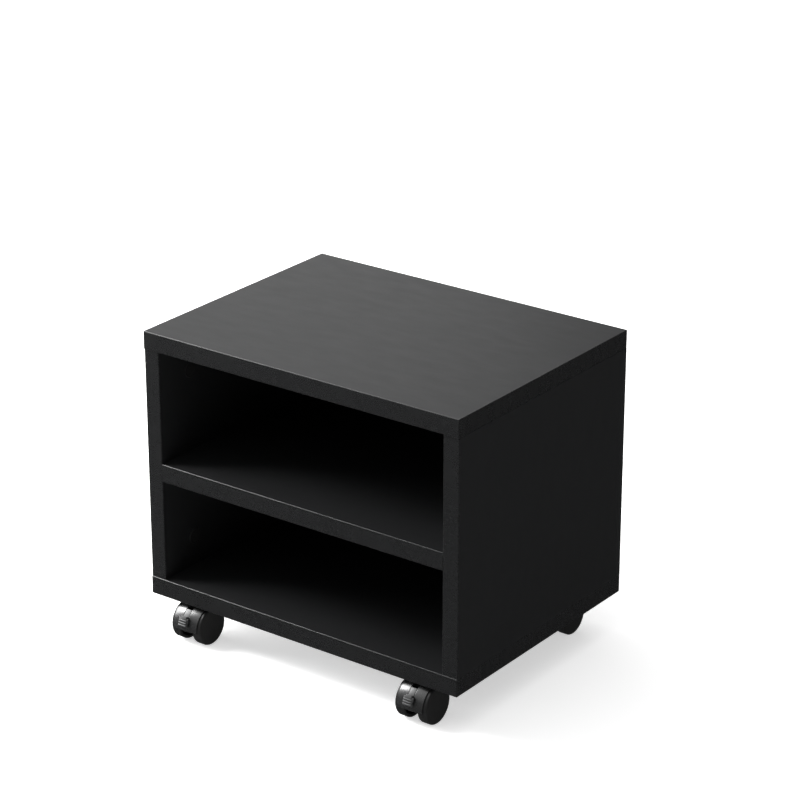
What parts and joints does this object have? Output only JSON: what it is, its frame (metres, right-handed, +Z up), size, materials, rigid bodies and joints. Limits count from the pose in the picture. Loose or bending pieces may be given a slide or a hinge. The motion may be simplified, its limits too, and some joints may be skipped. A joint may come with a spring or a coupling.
{
  "type": "rolling printer stand",
  "caption": "Low rolling printer stand: a black box cabinet with an open front, a shelf and a closed back, on twin-wheel swivel casters, the front ones with brake levers.",
  "frame": {"origin": "on the floor under the middle of the whole stand, front brake tabs included", "axes": "+Z up, -Y out of the open front, +X to the right seen from the front"},
  "size_m": [0.4, 0.314, 0.3455],
  "materials": {
    "black_board": "satin black melamine face on particle board",
    "back_board": "satin black melamine face on fibreboard",
    "edge_band": "satin black plastic edge band, rounded edges",
    "caster_hood": "glossy black moulded nylon",
    "caster_wheel": "satin black moulded nylon",
    "brake_lever": "satin-gloss black moulded nylon",
    "cap_plastic": "matt black moulded plastic",
    "plated_steel": "bright zinc plate",
    "zinc": "dull zinc casting or plate",
    "black_screw": "black oxide",
    "beech": "bare beech with pressed flutes"
  },
  "bodies": {
    "cabinet": {"back_panel": "back_board", "back_panel_screws": "black_screw", "bottom_board": "black_board", "bottom_edge_band": "edge_band", "cam_bolts": "zinc", "caster_stems": "plated_steel", "insert_nuts": "zinc", "left_side_edge_band": "edge_band", "left_side_panel": "black_board", "middle_shelf": "black_board", "right_side_edge_band": "edge_band", "right_side_panel": "black_board", "shelf_cam_caps": "cap_plastic", "shelf_cam_locks": "zinc", "shelf_edge_band": "edge_band", "side_cam_caps": "cap_plastic", "side_cam_locks": "zinc", "stem_retaining_rings": "plated_steel", "top_board": "black_board", "top_edge_band": "edge_band", "wood_dowels": "beech"},
    "front_left_swivel": {"front_left_hood": "caster_hood", "front_left_axle": "plated_steel", "front_left_brake_pin": "plated_steel"},
    "front_left_wheel_left": {"front_left_wheel_left": "caster_wheel"},
    "front_left_wheel_right": {"front_left_wheel_right": "caster_wheel"},
    "front_left_brake": {"front_left_brake_lever": "brake_lever"},
    "front_right_swivel": {"front_right_hood": "caster_hood", "front_right_axle": "plated_steel", "front_right_brake_pin": "plated_steel"},
    "front_right_wheel_left": {"front_right_wheel_left": "caster_wheel"},
    "front_right_wheel_right": {"front_right_wheel_right": "caster_wheel"},
    "front_right_brake": {"front_right_brake_lever": "brake_lever"},
    "rear_left_swivel": {"rear_left_hood": "caster_hood", "rear_left_axle": "plated_steel"},
    "rear_left_wheel_left": {"rear_left_wheel_left": "caster_wheel"},
    "rear_left_wheel_right": {"rear_left_wheel_right": "caster_wheel"},
    "rear_right_swivel": {"rear_right_hood": "caster_hood", "rear_right_axle": "plated_steel"},
    "rear_right_wheel_left": {"rear_right_wheel_left": "caster_wheel"},
    "rear_right_wheel_right": {"rear_right_wheel_right": "caster_wheel"}
  },
  "joints": [
    {"name": "front_left_swivel_turn", "type": "hinge", "parent": "cabinet", "child": "front_left_swivel", "pos_m": [-0.148, -0.11745, 0.044], "axis": [0, 0, 1], "continuous": true},
    {"name": "front_left_wheel_left_spin", "type": "hinge", "parent": "front_left_swivel", "child": "front_left_wheel_left", "pos_m": [-0.148, -0.12945, 0.021], "axis": [1, 0, 0], "continuous": true},
    {"name": "front_left_wheel_right_spin", "type": "hinge", "parent": "front_left_swivel", "child": "front_left_wheel_right", "pos_m": [-0.148, -0.12945, 0.021], "axis": [1, 0, 0], "continuous": true},
    {"name": "front_left_brake_press", "type": "hinge", "parent": "front_left_swivel", "child": "front_left_brake", "pos_m": [-0.148, -0.13795, 0.03044], "axis": [1, 0, 0], "range_deg": [0, 10]},
    {"name": "front_right_swivel_turn", "type": "hinge", "parent": "cabinet", "child": "front_right_swivel", "pos_m": [0.148, -0.11745, 0.044], "axis": [0, 0, 1], "continuous": true},
    {"name": "front_right_wheel_left_spin", "type": "hinge", "parent": "front_right_swivel", "child": "front_right_wheel_left", "pos_m": [0.148, -0.12945, 0.021], "axis": [1, 0, 0], "continuous": true},
    {"name": "front_right_wheel_right_spin", "type": "hinge", "parent": "front_right_swivel", "child": "front_right_wheel_right", "pos_m": [0.148, -0.12945, 0.021], "axis": [1, 0, 0], "continuous": true},
    {"name": "front_right_brake_press", "type": "hinge", "parent": "front_right_swivel", "child": "front_right_brake", "pos_m": [0.148, -0.13795, 0.03044], "axis": [1, 0, 0], "range_deg": [0, 10]},
    {"name": "rear_left_swivel_turn", "type": "hinge", "parent": "cabinet", "child": "rear_left_swivel", "pos_m": [-0.148, 0.13155, 0.044], "axis": [0, 0, 1], "continuous": true},
    {"name": "rear_left_wheel_left_spin", "type": "hinge", "parent": "rear_left_swivel", "child": "rear_left_wheel_left", "pos_m": [-0.148, 0.11955, 0.021], "axis": [1, 0, 0], "continuous": true},
    {"name": "rear_left_wheel_right_spin", "type": "hinge", "parent": "rear_left_swivel", "child": "rear_left_wheel_right", "pos_m": [-0.148, 0.11955, 0.021], "axis": [1, 0, 0], "continuous": true},
    {"name": "rear_right_swivel_turn", "type": "hinge", "parent": "cabinet", "child": "rear_right_swivel", "pos_m": [0.148, 0.13155, 0.044], "axis": [0, 0, 1], "continuous": true},
    {"name": "rear_right_wheel_left_spin", "type": "hinge", "parent": "rear_right_swivel", "child": "rear_right_wheel_left", "pos_m": [0.148, 0.11955, 0.021], "axis": [1, 0, 0], "continuous": true},
    {"name": "rear_right_wheel_right_spin", "type": "hinge", "parent": "rear_right_swivel", "child": "rear_right_wheel_right", "pos_m": [0.148, 0.11955, 0.021], "axis": [1, 0, 0], "continuous": true}
  ]
}
